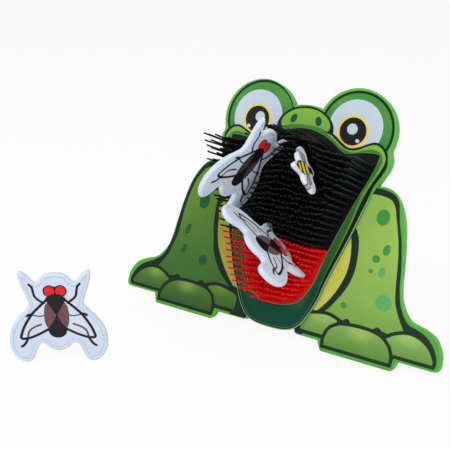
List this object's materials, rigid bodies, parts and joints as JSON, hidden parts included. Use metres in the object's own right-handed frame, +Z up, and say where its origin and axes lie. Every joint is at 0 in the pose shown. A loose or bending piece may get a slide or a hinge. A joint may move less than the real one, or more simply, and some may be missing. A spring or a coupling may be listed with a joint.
{
  "type": "frog toss game",
  "caption": "Flat frog-shaped target on a folding leg, its open mouth a bed of stiff bristles in which soft thrown insects stick.",
  "frame": {"origin": "on the floor under the middle of the whole set", "axes": "+Z up, -Y the way the frog faces, +X along its toes to the right of someone who faces it"},
  "size_m": [0.4502, 0.377, 0.2992],
  "materials": {
    "rear_board_paint": "green printed board, semi-gloss",
    "front_board_paint": "green printed board, semi-gloss",
    "black_bristle": "stiff black plastic bristles",
    "red_bristle": "stiff red plastic bristles",
    "soft_white": "padded printed fabric",
    "leg_board": "bare fibreboard",
    "zinc_steel": "zinc plated"
  },
  "bodies": {
    "frog": {"body_board": "rear_board_paint", "head_board": "front_board_paint", "mouth_mat": "black_bristle", "tongue_mat": "red_bristle", "board_screw_1": "zinc_steel", "board_screw_2": "zinc_steel", "board_screw_3": "zinc_steel", "board_screw_4": "zinc_steel", "hinge_board_leaf": "zinc_steel", "hinge_pin": "zinc_steel", "hinge_board_screw_1": "zinc_steel", "hinge_board_screw_2": "zinc_steel", "hinge_board_screw_3": "zinc_steel"},
    "leg": {"stand_leg": "leg_board", "hinge_leg_leaf": "zinc_steel", "hinge_leg_screw_1": "zinc_steel", "hinge_leg_screw_2": "zinc_steel", "hinge_leg_screw_3": "zinc_steel"},
    "upper_fly": {"upper_fly_front": "soft_white", "upper_fly_back": "soft_white"},
    "lower_fly": {"lower_fly_front": "soft_white", "lower_fly_back": "soft_white"},
    "bee": {"bee_front": "soft_white", "bee_back": "soft_white"},
    "loose_fly": {"loose_fly_front": "soft_white", "loose_fly_back": "soft_white"}
  },
  "joints": [
    {"name": "leg_fold", "type": "hinge", "parent": "frog", "child": "leg", "pos_m": [0, 0.12007, 0.16581], "axis": [1, 0, 0], "range_deg": [-42, 0]},
    {"name": "upper_fly_pull", "type": "slide", "parent": "frog", "child": "upper_fly", "axis": [0, -0.9157, 0.402], "range_m": [0, 0.1]},
    {"name": "lower_fly_pull", "type": "slide", "parent": "frog", "child": "lower_fly", "axis": [0, -0.9157, 0.402], "range_m": [0, 0.1]},
    {"name": "bee_pull", "type": "slide", "parent": "frog", "child": "bee", "axis": [0, -0.9157, 0.402], "range_m": [0, 0.1]},
    {"name": "loose_fly_lift", "type": "slide", "parent": "frog", "child": "loose_fly", "axis": [0, 0, 1], "range_m": [0, 0.1]}
  ]
}
